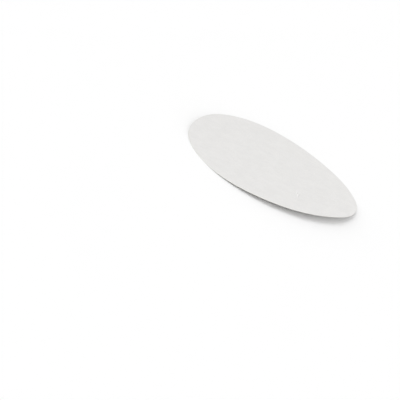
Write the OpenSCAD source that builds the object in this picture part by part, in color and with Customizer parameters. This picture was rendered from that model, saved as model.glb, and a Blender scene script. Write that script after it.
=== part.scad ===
// Filter paper disc: one sheet of filter paper, cut round and lying loose.
//
// The sheet keeps a slight curl. A strip along its middle lies flat, and both sides
// rise from that strip in a shallow arc, so its section across X is a wide, low trough
// and it is straight along Y. Its outline is a true circle when seen from above.
//
// Millimetres, +Z up. The origin is under the middle of the disc, on the surface that
// the disc lies on.

/* [Sheet] */
// Diameter of the disc, across the cut edge
disc_d = 90; // [40:1:190]
// Thickness of the paper
paper_t = 0.18; // [0.1:0.01:0.5]

/* [Curl] */
// Width of the strip along the middle that lies flat
flat_w = 9; // [2:0.5:30]
// Radius of the curl on each side, to the underside of the paper
curl_r = 270; // [130:5:1500]

/* [Hidden] */

// Segments in a full circle, fine enough that the wide curl follows a thin sheet
$fn = 720;

// How far a cutting shape runs past what it cuts
over = 1;

// Width of each curled side, seen from above
side_w = (disc_d - flat_w) / 2;

// Height of the upper face at the cut edge, where the curl has risen the furthest
top_z = curl_r - sqrt((curl_r - paper_t) ^ 2 - side_w ^ 2);

// Section of the side at +X: a band between two arcs about one centre, which stands
// straight above the edge of the flat strip, so the band leaves the strip level.
module curled_side() {
    translate([flat_w / 2, 0])
        intersection() {
            translate([0, curl_r])
                difference() {
                    circle(r = curl_r);
                    circle(r = curl_r - paper_t);
                }
            square([side_w + over, curl_r]);
        }
}

// Section of the whole sheet across X, a little wider than the disc
module sheet_section() {
    translate([-flat_w / 2, 0])
        square([flat_w, paper_t]);
    curled_side();
    mirror([1, 0])
        curled_side();
}

// The disc: the section carried straight along Y, then cut round from above
module filter_disc() {
    color("#e7e7e5")
        intersection() {
            rotate([90, 0, 0])
                linear_extrude(height = disc_d + 2 * over, center = true)
                    sheet_section();
            translate([0, 0, -over])
                cylinder(d = disc_d, h = top_z + 2 * over);
        }
}

filter_disc();
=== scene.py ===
"""A loose disc of filter paper on a pale bench, under a soft studio light.

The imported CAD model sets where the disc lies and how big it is. This script gives it its
looks: a fine sheet with a die-cut edge, faint ripples and one small kink, a matte fibrous
paper, the bench, the lights and the camera. Lengths are in metres, in the CAD model's frame:
+Z is up, the curl runs across X, and the origin is under the middle of the disc.
"""
from math import cos, pi, radians, sin, tan

import bpy
import numpy as np
from bpy.props import FloatProperty, FloatVectorProperty, IntProperty, PointerProperty
from mathutils import Matrix, Vector


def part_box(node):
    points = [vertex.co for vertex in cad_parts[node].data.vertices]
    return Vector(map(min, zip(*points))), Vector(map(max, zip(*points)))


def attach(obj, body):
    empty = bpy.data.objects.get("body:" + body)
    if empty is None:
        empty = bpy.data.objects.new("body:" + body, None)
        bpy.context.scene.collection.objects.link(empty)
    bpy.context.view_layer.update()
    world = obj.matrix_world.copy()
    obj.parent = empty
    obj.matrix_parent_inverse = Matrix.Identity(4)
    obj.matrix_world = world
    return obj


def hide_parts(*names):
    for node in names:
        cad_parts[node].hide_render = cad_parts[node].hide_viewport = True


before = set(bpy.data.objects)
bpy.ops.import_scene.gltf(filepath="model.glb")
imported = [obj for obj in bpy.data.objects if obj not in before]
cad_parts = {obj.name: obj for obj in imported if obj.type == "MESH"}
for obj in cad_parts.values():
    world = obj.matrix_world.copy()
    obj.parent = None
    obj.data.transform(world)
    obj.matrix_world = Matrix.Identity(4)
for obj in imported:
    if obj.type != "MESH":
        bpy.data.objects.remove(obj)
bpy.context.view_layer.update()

bl_info = {
    "name": "Filter Paper Disc",
    "version": (1, 0, 0),
    "blender": (4, 5, 0),
    "location": "3D View > Sidebar > Filter Paper",
    "description": "Builds a loose disc of filter paper on a pale bench, with its light and camera",
    "category": "Add Mesh",
}

NODE = "filter_disc"

# Seed of the ripples; the fray takes the next one
SEED = 333

# Rows of the mesh on each face, and steps round each corner of the cut edge
UPPER_ROWS = 72
LOWER_ROWS = 28
CORNER_STEPS = 4

# How close the rows lie over the kink, and how strongly the columns are drawn towards it
KINK_STEP = 0.0002
KINK_PULL = 0.5

# How far the kink's hollow sinks, as a share of the height of its ridges
KINK_SINK = 0.5

# Number of plane waves in the ripples, and the range of their lengths
RIPPLE_WAVES = 9
RIPPLE_LENGTHS = (0.018, 0.045)

# Number of waves in the fray, the range of how often each goes round the edge, and the power
# of the distance out with which the fray dies away inwards
FRAY_WAVES = 48
FRAY_TURNS = (24, 200)
FRAY_POWER = 80

# Nearly all of a noise lies in this span
NOISE_SPAN = (0.3, 0.7)

# Share of the face that the crests of the fibres cover
CREST_SHARE = 1 / 3

# The disc's own sizes, as the frame gives them
DISC_LOW, DISC_HIGH = (np.array(corner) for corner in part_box(NODE))
DISC_RADIUS = float(DISC_HIGH[0] - DISC_LOW[0]) / 2
DISC_HEIGHT = float(DISC_HIGH[2] - DISC_LOW[2])


# ---------------------------------------------------------------------------------------
# Settings
# ---------------------------------------------------------------------------------------

class SheetSettings(bpy.types.PropertyGroup):
    """Sizes of the sheet of paper."""
    thickness: FloatProperty(
        name="Thickness", description="Thickness of the paper",
        default=0.00018, min=0.0001, max=0.0005, precision=5, unit="LENGTH")
    flat_width: FloatProperty(
        name="Flat strip", description="Width of the strip along the middle that lies flat",
        default=0.009, min=0.002, max=0.03, precision=4, unit="LENGTH")
    edge_round: FloatProperty(
        name="Edge rounding", description="Radius that the cutting die leaves on each corner of the edge",
        default=0.00004, min=0.00001, max=0.00005, precision=5, unit="LENGTH")
    edge_fray: FloatProperty(
        name="Edge fray", description="How far the cut fibres let the edge stray inside a true circle",
        default=0.00004, min=0.0, max=0.0003, precision=5, unit="LENGTH")
    ripple: FloatProperty(
        name="Ripple", description="Height of the faint ripples of loose paper, away from the flat strip",
        default=0.00018, min=0.0, max=0.0005, precision=5, unit="LENGTH")
    kink_tip: FloatVectorProperty(
        name="Kink tip", description="Where the small V-shaped kink, left by handling, has its tip",
        default=(0.0255, -0.0009), size=2, subtype="XYZ", unit="LENGTH")
    kink_heading: FloatProperty(
        name="Kink heading", description="Direction from the kink's tip back along it, from +X towards +Y",
        default=radians(146), subtype="ANGLE", unit="ROTATION")
    kink_length: FloatProperty(
        name="Kink length", description="Length of the kink, from its tip to where it fades out",
        default=0.0058, min=0.0005, max=0.01, precision=4, unit="LENGTH")
    kink_opening: FloatProperty(
        name="Kink opening", description="Angle between the kink's two ridges",
        default=radians(20), min=0.0, max=radians(120), subtype="ANGLE", unit="ROTATION")
    kink_height: FloatProperty(
        name="Kink height", description="How far the kink's ridges stand up at its tip",
        default=0.00055, min=0.0, max=0.001, precision=5, unit="LENGTH")
    kink_ridge: FloatProperty(
        name="Kink ridge", description="Half width of the kink's ridges",
        default=0.00025, min=0.0001, max=0.001, precision=5, unit="LENGTH")
    around: IntProperty(
        name="Steps around", description="Mesh steps around the disc",
        default=600, min=180, max=620)


class PaperSettings(bpy.types.PropertyGroup):
    """Colours and texture of the paper."""
    face_color: FloatVectorProperty(
        name="Face", description="Colour of the paper's faces",
        default=(0.803, 0.795, 0.782), size=3, min=0.0, max=1.0, subtype="COLOR")
    edge_color: FloatVectorProperty(
        name="Cut edge", description="Colour of the cut edge, where the fibres' ends show",
        default=(0.78, 0.77, 0.72), size=3, min=0.0, max=1.0, subtype="COLOR")
    # Painted highlight: this lighter colour on the kink's ridges stands in for the light that catches them
    kink_highlight_color: FloatVectorProperty(
        name="Kink", description="Colour of the ridges of the kink, where the fibres have opened",
        default=(0.95, 0.95, 0.94), size=3, min=0.0, max=1.0, subtype="COLOR")
    cloud_contrast: FloatProperty(
        name="Clouds", description="How much the paper's uneven density lightens and darkens it",
        default=0.035, min=0.0, max=0.2, subtype="FACTOR")
    cloud_size: FloatProperty(
        name="Cloud size", description="Width of a cloud",
        default=0.006, min=0.001, max=0.03, precision=4, unit="LENGTH")
    fibre_contrast: FloatProperty(
        name="Fibres", description="How much single fibres lighten the face",
        default=0.07, min=0.0, max=0.3, subtype="FACTOR")
    fibre_width: FloatProperty(
        name="Fibre width", description="Width of a fibre and the space beside it",
        default=0.00013, min=0.00005, max=0.001, precision=5, unit="LENGTH")
    fibre_length: FloatProperty(
        name="Fibre length", description="Length of a fibre",
        default=0.00156, min=0.0001, max=0.01, precision=5, unit="LENGTH")
    felt_size: FloatProperty(
        name="Felt mark size", description="Width of the shallow dimples that the drying felt leaves",
        default=0.0011, min=0.0002, max=0.01, precision=4, unit="LENGTH")
    felt_height: FloatProperty(
        name="Felt mark height", description="Height of the shallow dimples that the drying felt leaves",
        default=0.00003, min=0.0, max=0.0002, precision=6, unit="LENGTH")
    tooth_size: FloatProperty(
        name="Tooth size", description="Width of the fine matte tooth of the face",
        default=0.0003, min=0.0001, max=0.002, precision=5, unit="LENGTH")
    tooth_height: FloatProperty(
        name="Tooth height", description="Height of the fine matte tooth of the face",
        default=0.000012, min=0.0, max=0.0001, precision=6, unit="LENGTH")
    fibre_height: FloatProperty(
        name="Fibre height", description="How far single fibres stand out of the face",
        default=0.000016, min=0.0, max=0.0001, precision=6, unit="LENGTH")


class StageSettings(bpy.types.PropertyGroup):
    """The bench, the lights and the camera."""
    bench_color: FloatVectorProperty(
        name="Bench", description="Colour of the bench top",
        default=(0.98, 0.98, 0.98), size=3, min=0.0, max=1.0, subtype="COLOR")
    bench_grain: FloatProperty(
        name="Bench grain", description="Width of the uneven patches in the bench top's sheen",
        default=0.03, min=0.001, max=0.5, precision=3, unit="LENGTH")
    bench_radius: FloatProperty(
        name="Bench radius", description="Radius of the bench top",
        default=4.0, min=1.0, max=20.0, unit="LENGTH")
    low_light: FloatProperty(
        name="Low light", description="Brightness of the white walls, which light the disc from the sides",
        default=1.3, min=0.0, max=5.0)
    high_light: FloatProperty(
        name="High light", description="Brightness of the ceiling",
        default=0.61, min=0.0, max=5.0)
    key_strength: FloatProperty(
        name="Key strength", description="Strength of the large soft light",
        default=0.7, min=0.0, max=20.0)
    key_spread: FloatProperty(
        name="Key spread", description="How wide the large soft light looks from the disc",
        default=radians(50), min=0.0, max=radians(120), subtype="ANGLE", unit="ROTATION")
    key_from: FloatVectorProperty(
        name="Key from", description="Direction that the large soft light comes from",
        default=(-0.25, -0.30, 0.90), size=3, subtype="DIRECTION")
    view_azimuth: FloatProperty(
        name="Azimuth", description="Direction the camera looks in, from +Y towards -X",
        default=radians(51.7), subtype="ANGLE", unit="ROTATION")
    view_elevation: FloatProperty(
        name="Elevation", description="How steeply the camera looks down",
        default=radians(23.95), subtype="ANGLE", unit="ROTATION")
    view_roll: FloatProperty(
        name="Roll", description="How far the camera leans over to its left",
        default=radians(26.6), subtype="ANGLE", unit="ROTATION")
    view_distance: FloatProperty(
        name="Distance", description="From the camera to the point of the bench in mid picture",
        default=0.4191, min=0.1, max=5.0, unit="LENGTH")
    view_aim: FloatVectorProperty(
        name="Aim", description="Point of the bench in mid picture",
        default=(0.04174, -0.06457, 0.0), size=3, subtype="TRANSLATION", unit="LENGTH")
    lens: FloatProperty(
        name="Lens", description="Focal length, on a sensor 36 mm wide",
        default=90.0, min=10.0, max=300.0, subtype="DISTANCE_CAMERA")


SETTINGS = {
    "filter_sheet": SheetSettings,
    "filter_paper": PaperSettings,
    "filter_stage": StageSettings,
}


# ---------------------------------------------------------------------------------------
# Shapes, worked out as whole arrays
# ---------------------------------------------------------------------------------------

def arc(centre, radius, start, stop, steps):
    """Points of an arc in the plane of distance out and height: the centre plus the radius
    times the cosine and the sine of evenly spaced angles, start and stop in degrees."""
    turn = np.radians(np.linspace(start, stop, steps + 1))
    return np.stack([centre[0] + radius * np.cos(turn), centre[1] + radius * np.sin(turn)], axis=1)


def face_rows(count, sheet):
    """Distances out of a face's rows, which crowd towards the edge: the radius times
    sin(u * 90 degrees). Over the stretch where the kink is they lie closer still."""
    out = (DISC_RADIUS - sheet.edge_round) * np.sin(np.linspace(0.0, pi / 2, count)[1:-1])
    tip = np.hypot(*sheet.kink_tip)
    fine = np.arange(tip - sheet.kink_length, tip + 2 * sheet.kink_ridge, KINK_STEP)
    return np.union1d(out[(out < fine[0]) | (out > fine[-1])], fine)


def sheet_profile(sheet):
    """Half section of the flat sheet, as rows of (distance out, height), and how much each
    row belongs to the cut edge. It runs out from near the middle of the upper face, over a
    small arc onto the cut edge, down the edge, round a second arc and back in along the
    underside."""
    inner = DISC_RADIUS - sheet.edge_round
    out, back = face_rows(UPPER_ROWS, sheet), face_rows(LOWER_ROWS, sheet)[::-1]
    upper = arc((inner, sheet.thickness - sheet.edge_round), sheet.edge_round, 90, 0, CORNER_STEPS)
    lower = arc((inner, sheet.edge_round), sheet.edge_round, 0, -90, CORNER_STEPS)
    rows = np.concatenate([
        np.stack([out, np.full_like(out, sheet.thickness)], axis=1),
        upper,
        lower,
        np.stack([back, np.zeros_like(back)], axis=1),
    ])
    on_edge = np.zeros(len(rows))
    on_edge[len(out) + 1:len(out) + len(upper) + len(lower) - 1] = 1.0
    return rows, on_edge


def curl_radius(sheet):
    """Radius of the underside of each curled side. The box gives the height of the upper
    face at the edge, h. With side width s and thickness t, (r - h)^2 = (r - t)^2 - s^2, so
    r = (s^2 + h^2 - t^2) / (2 (h - t))."""
    side = DISC_RADIUS - sheet.flat_width / 2
    rise = DISC_HEIGHT
    thick = sheet.thickness
    return (side ** 2 + rise ** 2 - thick ** 2) / (2 * (rise - thick))


def curled_height(across, above, sheet):
    """Height of the point that is `across` from the middle and `above` the underside of the
    sheet: r - sqrt((r - above)^2 - u^2), where u is the distance past the flat strip."""
    radius = curl_radius(sheet)
    past = np.maximum(np.abs(across) - sheet.flat_width / 2, 0.0)
    return radius - np.sqrt((radius - above) ** 2 - past ** 2)


def ripples(x, y, sheet):
    """Faint ripples of loose paper: a sum of plane waves of seeded lengths and headings,
    scaled to the ripple height. They fade to nothing on the flat strip, as the square of the
    distance from it over the radius."""
    draw = np.random.default_rng(SEED)
    length = draw.uniform(*RIPPLE_LENGTHS, RIPPLE_WAVES)
    heading = draw.uniform(0.0, 2 * pi, RIPPLE_WAVES)
    start = draw.uniform(0.0, 2 * pi, RIPPLE_WAVES)
    along = x[..., None] * np.cos(heading) + y[..., None] * np.sin(heading)
    waves = np.sin(2 * pi * along / length + start).sum(axis=-1) / np.sqrt(RIPPLE_WAVES / 2)
    past = np.maximum(np.abs(x) - sheet.flat_width / 2, 0.0) / DISC_RADIUS
    return sheet.ripple * waves * past ** 2


def kink(x, y, sheet):
    """A small V-shaped kink: how much of a ridge each point has, from 0 to 1, and how much
    of the hollow between the ridges.

    With a the distance back from the tip, b the distance to the side and w the half width
    of a ridge, the two ridges run along b = a tan(opening / 2). Each is
    exp(-((b - a tan(opening / 2)) / w)^2), ends before the tip as exp(-(a / w)^2), and fades
    out as 1 - (a / length)^2. The hollow goes from 0 at the ridges to 1 at one w inside them,
    and fades out in the same way.
    """
    right, ahead = x - sheet.kink_tip[0], y - sheet.kink_tip[1]
    heading, width = sheet.kink_heading, sheet.kink_ridge
    back = right * cos(heading) + ahead * sin(heading)
    side = np.abs(ahead * cos(heading) - right * sin(heading))
    spread = np.maximum(back, 0.0) * tan(sheet.kink_opening / 2)
    fade = np.clip(1 - (np.maximum(back, 0.0) / sheet.kink_length) ** 2, 0.0, 1.0)
    ridge = np.exp(-((side - spread) / width) ** 2 - (np.minimum(back, 0.0) / width) ** 2) * fade
    hollow = np.clip((spread - side) / width, 0.0, 1.0) * fade
    return ridge, hollow


def fray(turn, sheet):
    """How far the cut edge lies inside a true circle at each angle: a sum of cosines that
    each go round the edge a whole number of times, from a seeded start, brought to the range
    from 0 to the fray setting."""
    draw = np.random.default_rng(SEED + 1)
    turns = draw.integers(*FRAY_TURNS, FRAY_WAVES)
    start = draw.uniform(0.0, 2 * pi, FRAY_WAVES)
    uneven = np.cos(turn[:, None] * turns + start).sum(axis=1)
    return sheet.edge_fray * (uneven - uneven.min()) / (uneven.max() - uneven.min())


def columns(sheet):
    """Angles of the grid's columns: even steps, less KINK_PULL times the sine of the angle
    from the kink's tip, so that they lie closest where the kink is."""
    even = np.linspace(0.0, 2 * pi, sheet.around, endpoint=False)
    towards = np.arctan2(sheet.kink_tip[1], sheet.kink_tip[0])
    return even - KINK_PULL * np.sin(even - towards)


def disc_surface(sheet):
    """The sheet as a grid of points, one row to each ring and one column to each angle,
    with the two middle points, and how much each point of the grid belongs to the cut edge
    and to the kink's ridges.

    A flat ring is (r cos a, r sin a, height). The fray draws the outermost rings in by its
    amount times (r / R)^FRAY_POWER. The curl then lifts each point as curled_height says, and
    the ripples are added. Both faces rise together by the kink's height on its ridges, and
    sink by KINK_SINK times that in the hollow between them.
    """
    rows, on_edge = sheet_profile(sheet)
    turn = columns(sheet)
    out = rows[:, 0, None] - fray(turn, sheet) * (rows[:, 0, None] / DISC_RADIUS) ** FRAY_POWER
    x = out * np.cos(turn)
    y = out * np.sin(turn)
    above = np.broadcast_to(rows[:, 1, None], x.shape)
    ridge, hollow = kink(x, y, sheet)
    z = curled_height(x, above, sheet) + ripples(x, y, sheet)
    z += sheet.kink_height * (ridge - KINK_SINK * hollow)
    middle = np.array([[0.0, 0.0, sheet.thickness], [0.0, 0.0, 0.0]])
    # The kink_ridge mark also tells the material where to paint a highlight onto the kink's ridges
    marks = {"cut_edge": np.broadcast_to(on_edge[:, None], x.shape), "kink_ridge": ridge}
    return np.stack([x, y, z], axis=-1), middle, marks


def ring_mesh(name, rings, ends, marks):
    """A closed mesh from rings of points: a quad between neighbours on neighbouring rings,
    and a fan of triangles from each end point to the first and the last ring. The rings run
    from the upper face to the underside, so each quad is listed to face outwards. Each mark
    becomes an attribute of the points, which is 0 at the end points."""
    count, around = rings.shape[:2]
    index = np.arange(count * around).reshape(count, around)
    after = np.roll(index, -1, axis=1)
    quads = np.stack([index[:-1], index[1:], after[1:], after[:-1]], axis=-1).reshape(-1, 4)
    top, bottom = count * around, count * around + 1
    upper_fan = np.stack([np.full(around, top), index[0], after[0]], axis=-1)
    lower_fan = np.stack([np.full(around, bottom), after[-1], index[-1]], axis=-1)
    points = np.concatenate([rings.reshape(-1, 3), ends])
    mesh = bpy.data.meshes.new(name)
    mesh.from_pydata(points.tolist(), [], quads.tolist() + upper_fan.tolist() + lower_fan.tolist())
    mesh.shade_smooth()
    for mark, amount in marks.items():
        layer = mesh.attributes.new(mark, "FLOAT", "POINT")
        layer.data.foreach_set("value", np.append(amount.ravel(), [0.0, 0.0]))
    mesh.validate()
    mesh.update()
    return mesh


def place(name, mesh):
    """Puts a mesh into the scene as an object at the origin."""
    thing = bpy.data.objects.new(name, mesh)
    bpy.context.scene.collection.objects.link(thing)
    return thing


# ---------------------------------------------------------------------------------------
# Materials
# ---------------------------------------------------------------------------------------

class Tree:
    """A material's node tree, with short ways to add and join its nodes."""

    def __init__(self, name):
        self.material = bpy.data.materials.new(name)
        self.material.use_nodes = True
        self.nodes = self.material.node_tree.nodes
        self.links = self.material.node_tree.links
        self.shader = self.nodes["Principled BSDF"]
        self.coords = self.nodes.new("ShaderNodeTexCoord").outputs["Object"]

    def feed(self, value, socket):
        """Links an output to a socket, or sets the socket to a plain value."""
        if isinstance(value, bpy.types.NodeSocket):
            self.links.new(value, socket)
        else:
            socket.default_value = value

    def mark(self, name):
        """One of the mesh's own marks, from 0 to 1."""
        node = self.nodes.new("ShaderNodeAttribute")
        node.attribute_name = name
        return node.outputs["Fac"]

    def noise(self, size, vector=None, detail=2.0, roughness=0.5):
        """Noise from 0 to 1 whose features are `size` metres across."""
        node = self.nodes.new("ShaderNodeTexNoise")
        self.feed(self.coords if vector is None else vector, node.inputs["Vector"])
        self.feed(1.0 / size, node.inputs["Scale"])
        self.feed(detail, node.inputs["Detail"])
        self.feed(roughness, node.inputs["Roughness"])
        return node.outputs["Fac"]

    def ramp(self, value, low, high, to_low=0.0, to_high=1.0):
        """Maps low..high smoothly onto to_low..to_high."""
        node = self.nodes.new("ShaderNodeMapRange")
        node.interpolation_type = "SMOOTHSTEP"
        for name, number in (("Value", value), ("From Min", low), ("From Max", high),
                             ("To Min", to_low), ("To Max", to_high)):
            self.feed(number, node.inputs[name])
        return node.outputs["Result"]

    def math(self, operation, first, second):
        """One arithmetic step on two numbers."""
        node = self.nodes.new("ShaderNodeMath")
        node.operation = operation
        self.feed(first, node.inputs[0])
        self.feed(second, node.inputs[1])
        return node.outputs["Value"]

    def mix(self, share, first, second, blend="MIX"):
        """A mix of two colours."""
        node = self.nodes.new("ShaderNodeMix")
        node.data_type = "RGBA"
        node.blend_type = blend
        self.feed(share, node.inputs["Factor"])
        self.feed(first, node.inputs["A"])
        self.feed(second, node.inputs["B"])
        return node.outputs["Result"]

    def wandering(self, size, reach):
        """The object's coordinates, pushed about by up to `reach` metres, so that what is
        drawn on them bends every `size` metres."""
        noise = self.nodes.new("ShaderNodeTexNoise")
        self.feed(self.coords, noise.inputs["Vector"])
        self.feed(1.0 / size, noise.inputs["Scale"])
        node = self.nodes.new("ShaderNodeVectorMath")
        node.operation = "MULTIPLY_ADD"
        self.feed(noise.outputs["Color"], node.inputs[0])
        self.feed((reach, reach, reach), node.inputs[1])
        self.feed(self.coords, node.inputs[2])
        return node.outputs["Vector"]

    def along(self, vector, heading, stretch):
        """Coordinates along and across a heading in the XY plane. What is drawn on them comes
        out `stretch` times longer along the heading."""
        node = self.nodes.new("ShaderNodeMapping")
        node.vector_type = "TEXTURE"
        self.feed(vector, node.inputs["Vector"])
        self.feed((0.0, 0.0, heading), node.inputs["Rotation"])
        self.feed((stretch, 1.0, 1.0), node.inputs["Scale"])
        return node.outputs["Vector"]

    def bump(self, height, distance, normal=None):
        """A bump whose full height is `distance` metres, on top of an earlier one."""
        node = self.nodes.new("ShaderNodeBump")
        self.feed(height, node.inputs["Height"])
        self.feed(distance, node.inputs["Distance"])
        if normal is not None:
            self.feed(normal, node.inputs["Normal"])
        return node.outputs["Normal"]


def matted_fibres(tree, width, length, headings=7, first=0.35, bend=(0.0012, 0.0007), crest=(0.56, 0.74)):
    """A mat of curly fibres: noise stretched along each of several headings in the sheet's
    plane, of which only the crests are kept, and the highest of them at each place. `first`
    is where the headings start, in steps between two of them, `bend` is how often and how
    far the fibres bend, and `crest` is the span of the noise in which a fibre rises."""
    curly = tree.wandering(*bend)
    mat = None
    for i in range(headings):
        vector = tree.along(curly, pi * (i + first) / headings, length / width)
        layer = tree.ramp(tree.noise(width, vector, detail=1.0), *crest)
        mat = layer if mat is None else tree.math("MAXIMUM", mat, layer)
    return mat


def filter_paper_material(paper):
    """Matte white cellulose: cloudy where the pulp settled unevenly, dimpled by the felt
    that dried it, with a fine tooth and a mat of fibres, warmer on the cut edge, and with a
    painted highlight on the ridges of the kink."""
    tree = Tree("filter_paper")
    clouds = tree.noise(paper.cloud_size, detail=4.0, roughness=0.6)
    felt = tree.noise(paper.felt_size)
    tooth = tree.noise(paper.tooth_size, detail=3.0, roughness=0.6)
    fibres = matted_fibres(tree, paper.fibre_width, paper.fibre_length)

    base = tree.mix(tree.mark("cut_edge"), (*paper.face_color, 1), (*paper.edge_color, 1))
    # Painted highlight: the kink's ridges get a lighter colour, standing in for the light that catches
    # them
    base = tree.mix(tree.mark("kink_ridge"), base, (*paper.kink_highlight_color, 1))
    cloudy = tree.ramp(clouds, *NOISE_SPAN, 1 - paper.cloud_contrast, 1.0)
    darkest, lightest = -CREST_SHARE * paper.fibre_contrast, (1 - CREST_SHARE) * paper.fibre_contrast
    light = tree.math("ADD", cloudy, tree.ramp(fibres, 0.0, 1.0, darkest, lightest))
    shade = tree.nodes.new("ShaderNodeCombineColor")
    for channel in ("Red", "Green", "Blue"):
        tree.feed(light, shade.inputs[channel])
    colour = tree.mix(1.0, base, shade.outputs["Color"], blend="MULTIPLY")

    tree.feed(colour, tree.shader.inputs["Base Color"])
    tree.feed(tree.ramp(tooth, *NOISE_SPAN, 0.82, 0.94), tree.shader.inputs["Roughness"])
    tree.feed(0.3, tree.shader.inputs["Specular IOR Level"])
    tree.feed(0.06, tree.shader.inputs["Sheen Weight"])
    tree.feed(0.6, tree.shader.inputs["Sheen Roughness"])
    relief = tree.bump(felt, paper.felt_height)
    relief = tree.bump(tooth, paper.tooth_height, relief)
    relief = tree.bump(fibres, paper.fibre_height, relief)
    tree.feed(relief, tree.shader.inputs["Normal"])
    return tree.material


def bench_material(stage):
    """A plain pale bench top, with a trace of unevenness in its sheen."""
    tree = Tree("bench_top")
    tree.feed((*stage.bench_color, 1), tree.shader.inputs["Base Color"])
    unevenness = tree.noise(stage.bench_grain)
    tree.feed(tree.ramp(unevenness, *NOISE_SPAN, 0.7, 0.8), tree.shader.inputs["Roughness"])
    tree.feed(0.2, tree.shader.inputs["Specular IOR Level"])
    return tree.material


# ---------------------------------------------------------------------------------------
# Operators and panel
# ---------------------------------------------------------------------------------------

class FILTERPAPER_OT_disc(bpy.types.Operator):
    """Build the sheet of filter paper over its CAD solid"""
    bl_idname = "filter_paper.disc"
    bl_label = "Filter Paper Sheet"

    def execute(self, context):
        scene = context.scene
        rings, ends, marks = disc_surface(scene.filter_sheet)
        sheet = place("filter_paper_sheet", ring_mesh("filter_paper_sheet", rings, ends, marks))
        sheet.data.materials.append(filter_paper_material(scene.filter_paper))
        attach(sheet, "root")
        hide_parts(NODE)
        return {"FINISHED"}


def bench_mesh(radius, around=96):
    """A flat round bench top: one polygon whose corners are radius times (cos a, sin a)."""
    turn = np.linspace(0.0, 2 * pi, around, endpoint=False)
    points = np.stack([radius * np.cos(turn), radius * np.sin(turn), np.zeros(around)], axis=1)
    mesh = bpy.data.meshes.new("bench_top")
    mesh.from_pydata(points.tolist(), [], [list(range(around))])
    mesh.update()
    return mesh


def set_room_light(stage):
    """White light from all around: as bright as the walls at the horizon, falling smoothly
    to the ceiling's brightness straight overhead."""
    world = bpy.data.worlds.new("studio")
    world.use_nodes = True
    nodes, links = world.node_tree.nodes, world.node_tree.links
    heading = nodes.new("ShaderNodeTexCoord").outputs["Generated"]
    parts = nodes.new("ShaderNodeSeparateXYZ")
    rise = nodes.new("ShaderNodeMapRange")
    rise.interpolation_type = "SMOOTHSTEP"
    rise.inputs["To Min"].default_value = stage.low_light
    rise.inputs["To Max"].default_value = stage.high_light
    links.new(heading, parts.inputs["Vector"])
    links.new(parts.outputs["Z"], rise.inputs["Value"])
    backdrop = nodes["Background"]
    backdrop.inputs["Color"].default_value = (1.0, 1.0, 1.0, 1.0)
    links.new(rise.outputs["Result"], backdrop.inputs["Strength"])
    bpy.context.scene.world = world


def add_key_light(stage):
    """A large soft light, far off, so that it falls evenly on the whole bench."""
    lamp = bpy.data.lights.new("key_light", "SUN")
    lamp.angle = stage.key_spread
    lamp.energy = stage.key_strength
    light = place("key_light", lamp)
    light.rotation_euler = (-Vector(stage.key_from)).to_track_quat("-Z", "Y").to_euler()


def add_camera(stage):
    """A camera that looks at the aim point from its azimuth, elevation and distance, and
    then leans over by the roll."""
    azimuth, elevation = stage.view_azimuth, stage.view_elevation
    back = Vector((sin(azimuth) * cos(elevation), -cos(azimuth) * cos(elevation), sin(elevation)))
    lens = bpy.data.cameras.new("camera")
    lens.lens = stage.lens
    camera = place("camera", lens)
    level = (-back).to_track_quat("-Z", "Y").to_matrix()
    camera.matrix_world = Matrix.Translation(Vector(stage.view_aim) + back * stage.view_distance) @ (
        level @ Matrix.Rotation(stage.view_roll, 3, "Z")).to_4x4()
    bpy.context.scene.camera = camera


class FILTERPAPER_OT_stage(bpy.types.Operator):
    """Add the bench, the lights and the camera"""
    bl_idname = "filter_paper.stage"
    bl_label = "Bench, Light and Camera"

    def execute(self, context):
        stage = context.scene.filter_stage
        bench = place("bench_top", bench_mesh(stage.bench_radius))
        bench.data.materials.append(bench_material(stage))
        set_room_light(stage)
        add_key_light(stage)
        add_camera(stage)
        context.scene.view_settings.view_transform = "Standard"
        return {"FINISHED"}


class FILTERPAPER_PT_panel(bpy.types.Panel):
    """Lists the operators and their settings"""
    bl_idname = "FILTERPAPER_PT_panel"
    bl_label = "Filter Paper Disc"
    bl_space_type = "VIEW_3D"
    bl_region_type = "UI"
    bl_category = "Filter Paper"

    def draw(self, context):
        for name, group in SETTINGS.items():
            box = self.layout.box()
            for setting in group.__annotations__:
                box.prop(getattr(context.scene, name), setting)
        for operator in OPERATORS:
            self.layout.operator(operator.bl_idname)


OPERATORS = (FILTERPAPER_OT_disc, FILTERPAPER_OT_stage)
CLASSES = (*SETTINGS.values(), *OPERATORS, FILTERPAPER_PT_panel)


def register():
    for cls in CLASSES:
        bpy.utils.register_class(cls)
    for name, group in SETTINGS.items():
        setattr(bpy.types.Scene, name, PointerProperty(type=group))


def unregister():
    for name in SETTINGS:
        delattr(bpy.types.Scene, name)
    for cls in reversed(CLASSES):
        bpy.utils.unregister_class(cls)


def main():
    """Builds everything in order."""
    register()
    bpy.ops.filter_paper.disc()
    bpy.ops.filter_paper.stage()


if __name__ == "__main__":
    main()
